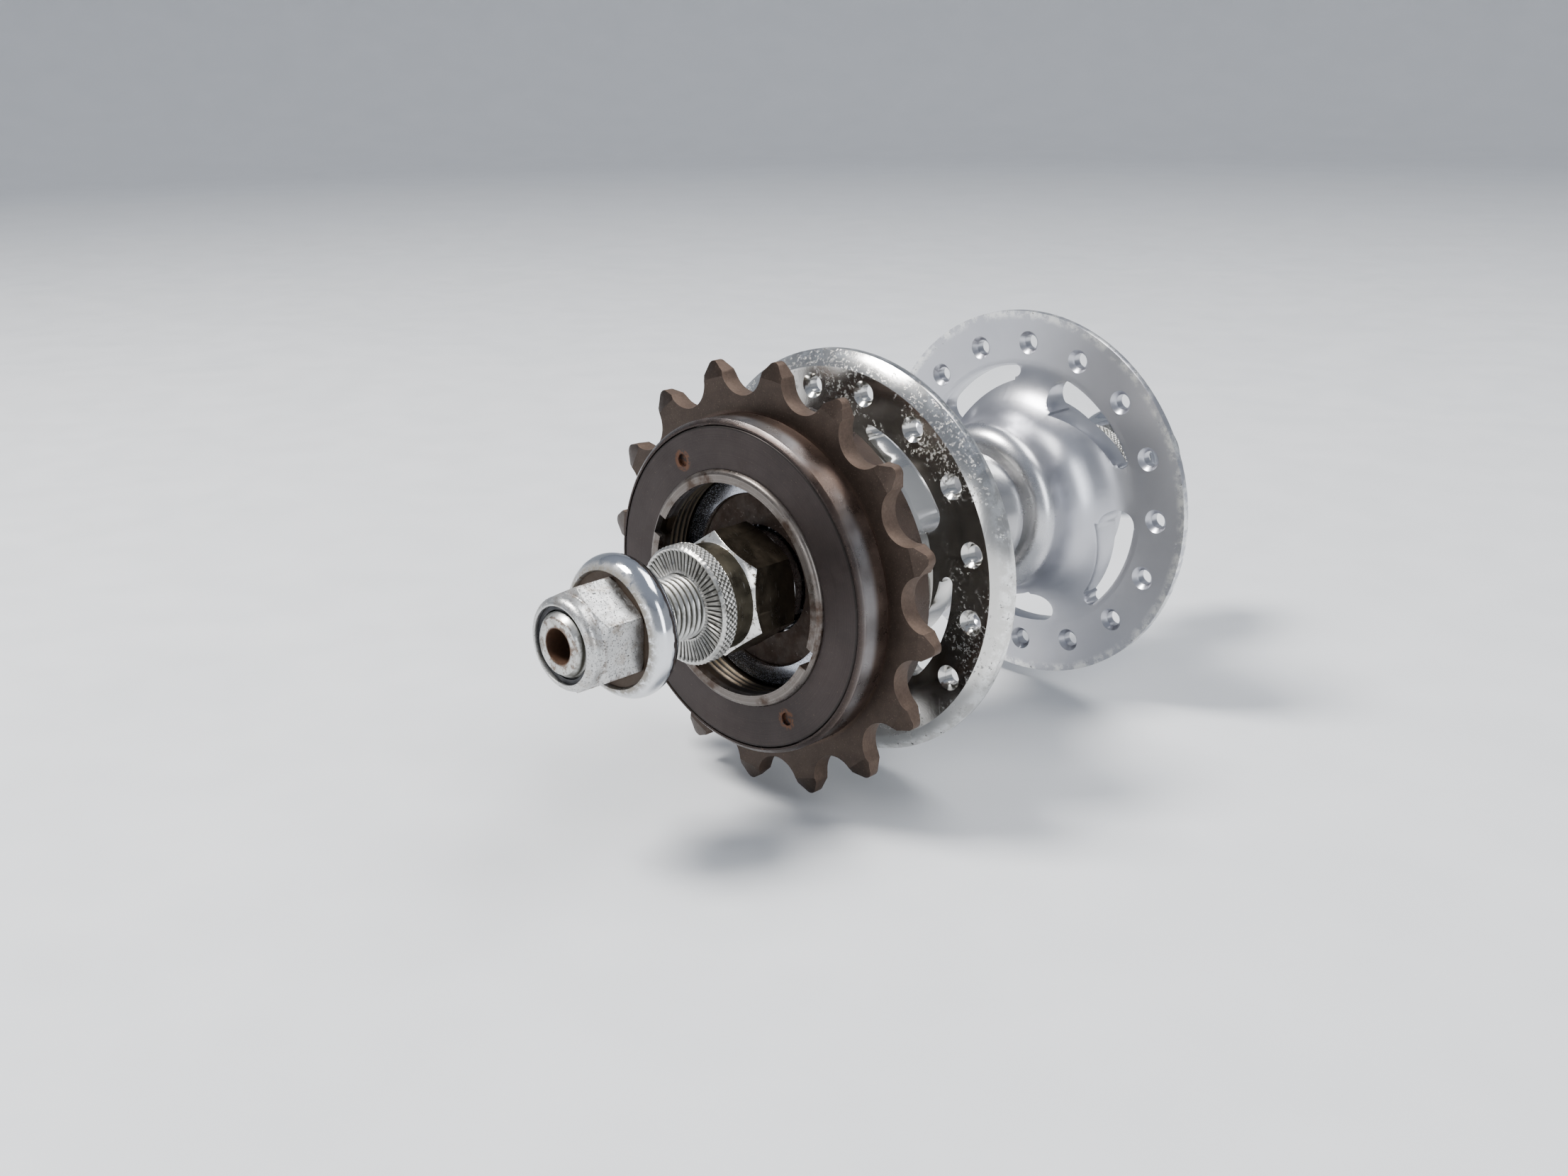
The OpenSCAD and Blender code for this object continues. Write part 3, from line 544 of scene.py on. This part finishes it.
def serrated_locknut(name, node, side):
    """A locknut with a diamond-knurled rim and radial teeth on the face that grips the frame."""
    knurls, teeth, knurl_pitch = 64, 60, 0.9
    knurl_depth, tooth_depth = 0.28, 0.32
    low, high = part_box(node)
    inner, outer = sorted((abs(low.y), abs(high.y)))
    inner, outer, rim, bore = inner / MM, outer / MM, high.x / MM, AXLE_R / MM + 0.05

    def relief(zone, r, y, turn):
        if zone == "rim":
            along = abs(y) / knurl_pitch
            groove = max(wave(turn * knurls + along), wave(turn * knurls - along))
            low_point = max(0.0, groove * 2 - 1)
            return -knurl_depth * low_point, 0, low_point
        if zone == "face":
            low_point = wave(turn * teeth)
            return 0, -side * tooth_depth * low_point, low_point
        return 0, 0, 0

    face_radii = steps(5.5, 8.3, 0.7)
    profile = [(bore, inner, ""), (rim - 0.5, inner, ""), (rim - 0.1, inner + 0.4, "")]
    profile += [(rim, y, "rim") for y in steps(inner + 0.5, outer - 0.5, 0.18)]
    profile += [(rim - 0.1, outer - 0.4, ""), (rim - 0.45, outer, ""), (8.55, outer, "")]
    profile += [(r, outer, "face") for r in reversed(face_radii)]
    profile += [(bore, outer, "")]
    profile = [(r, side * y, zone) for r, y, zone in profile]
    obj = turned_piece(name, profile, 384, relief, KNURL, "axle_set")
    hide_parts(node)


def freewheel_bore_thread():
    """Thread inside the freewheel, seen between its lip and the end of the hub's boss."""
    pitch, depth, root = 1.06, 0.5, 17.42
    front, back = COVER_FACE / MM + 1.65, BOSS_END / MM - 0.12

    def relief(zone, r, y, turn):
        if zone != "thread":
            return 0, 0, 0
        low = wave(y / pitch + turn)
        return depth * (low - 1), 0, low

    profile = [(root, y, "thread") for y in steps(front, back, 0.13)]
    profile += [(root + 0.25, back, ""), (root + 0.25, front, "")]
    turned_piece("freewheel_bore_thread", profile, 160, relief, BORE_THREAD, "shell")


# ---- stage ----------------------------------------------------------------------------------

def make_floor():
    """A pale floor that curves up into a low wall all round."""
    flat, wall, bend, segments = 1.3, 1.9, 12, 96
    profile = [(0.25, 0.0), (flat, 0.0)]
    for i in range(1, bend + 1):
        angle = math.radians(90 * i / bend)
        rise = wall - flat
        profile.append((flat + rise * math.sin(angle), rise * (1 - math.cos(angle))))
    profile.append((wall, 1.0))
    verts = [(0, 0, FLOOR_Z)]
    for r, z in profile:
        for j in range(segments):
            angle = 2 * math.pi * j / segments
            verts.append((r * math.cos(angle), r * math.sin(angle), FLOOR_Z + z))
    faces = [(0, 1 + j, 1 + (j + 1) % segments) for j in range(segments)]
    for i in range(len(profile) - 1):
        a, b = 1 + i * segments, 1 + (i + 1) * segments
        for j in range(segments):
            k = (j + 1) % segments
            faces.append((a + j, b + j, b + k, a + k))
    mesh = bpy.data.meshes.new("floor")
    mesh.from_pydata(verts, [], faces)
    mesh.shade_smooth()
    mesh.materials.append(floor_cloth())
    floor = bpy.data.objects.new("floor", mesh)
    bpy.context.scene.collection.objects.link(floor)


def area_light(name, place, size, energy, colour):
    """A soft lamp that faces the hub."""
    data = bpy.data.lights.new(name, "AREA")
    data.shape = "RECTANGLE"
    data.size, data.size_y = size
    data.energy = energy
    data.color = colour
    obj = bpy.data.objects.new(name, data)
    obj.location = place
    obj.rotation_euler = (-Vector(place)).to_track_quat("-Z", "Y").to_euler()
    bpy.context.scene.collection.objects.link(obj)


# name, place, width and height, watts, colour
LIGHTS = [
    ("key", (-0.30, -0.35, 0.80), (0.28, 0.28), 15, (1.0, 0.98, 0.95)),
    ("top", (0.20, 0.35, 0.80), (0.7, 0.35), 6, (1, 1, 1)),
    ("side", (0.75, -0.10, 0.25), (0.20, 0.6), 2.5, (0.92, 0.96, 1.0)),
    ("front", (0.10, -0.80, 0.15), (0.5, 0.2), 1.6, (0.95, 0.97, 1.0)),
]


def make_lights():
    for light in LIGHTS:
        area_light(*light)


def make_world():
    """A dim sky, dark below and pale blue above."""
    world = bpy.data.worlds.new("studio")
    bpy.context.scene.world = world
    world.use_nodes = True
    tree = world.node_tree
    background = tree.nodes["Background"]
    coords = tree.nodes.new("ShaderNodeTexCoord")
    parts = tree.nodes.new("ShaderNodeSeparateXYZ")
    ramp = tree.nodes.new("ShaderNodeValToRGB")
    tree.links.new(coords.outputs["Generated"], parts.inputs[0])
    tree.links.new(parts.outputs[2], ramp.inputs[0])
    tree.links.new(ramp.outputs[0], background.inputs[0])
    ramp.color_ramp.elements[0].position = 0.0
    ramp.color_ramp.elements[0].color = (0.10, 0.11, 0.13, 1)
    ramp.color_ramp.elements[1].position = 0.75
    ramp.color_ramp.elements[1].color = (0.62, 0.68, 0.80, 1)
    background.inputs[1].default_value = 0.55


CAMERA_PLACE = (178.8 * MM, -215.4 * MM, 81.0 * MM)
CAMERA_ANGLES = (44.50, 18.12, -0.99)       # azimuth, elevation and roll in degrees
CAMERA_LENS = 39.43                         # focal length in mm on a 36 mm sensor


def make_camera():
    azimuth, elevation, roll = (math.radians(angle) for angle in CAMERA_ANGLES)
    forward = Vector((-math.sin(azimuth) * math.cos(elevation),
                      math.cos(azimuth) * math.cos(elevation),
                      -math.sin(elevation)))
    right = Vector((math.cos(azimuth), math.sin(azimuth), 0))
    up = right.cross(forward)
    rolled_right = right * math.cos(roll) + up * math.sin(roll)
    rolled_up = up * math.cos(roll) - right * math.sin(roll)
    data = bpy.data.cameras.new("camera")
    data.sensor_width = 36.0
    data.lens = CAMERA_LENS
    data.clip_start = 0.01
    obj = bpy.data.objects.new("camera", data)
    rotation = Matrix((rolled_right, rolled_up, -forward)).transposed()
    obj.matrix_world = Matrix.Translation(CAMERA_PLACE) @ rotation.to_4x4()
    bpy.context.scene.collection.objects.link(obj)
    bpy.context.scene.camera = obj


dress_cad_nodes()
threaded_axle()
serrated_locknut("right_locknut_cut", "right_locknut", -1)
serrated_locknut("left_locknut_cut", "left_locknut", 1)
freewheel_bore_thread()
make_floor()
make_lights()
make_world()
make_camera()
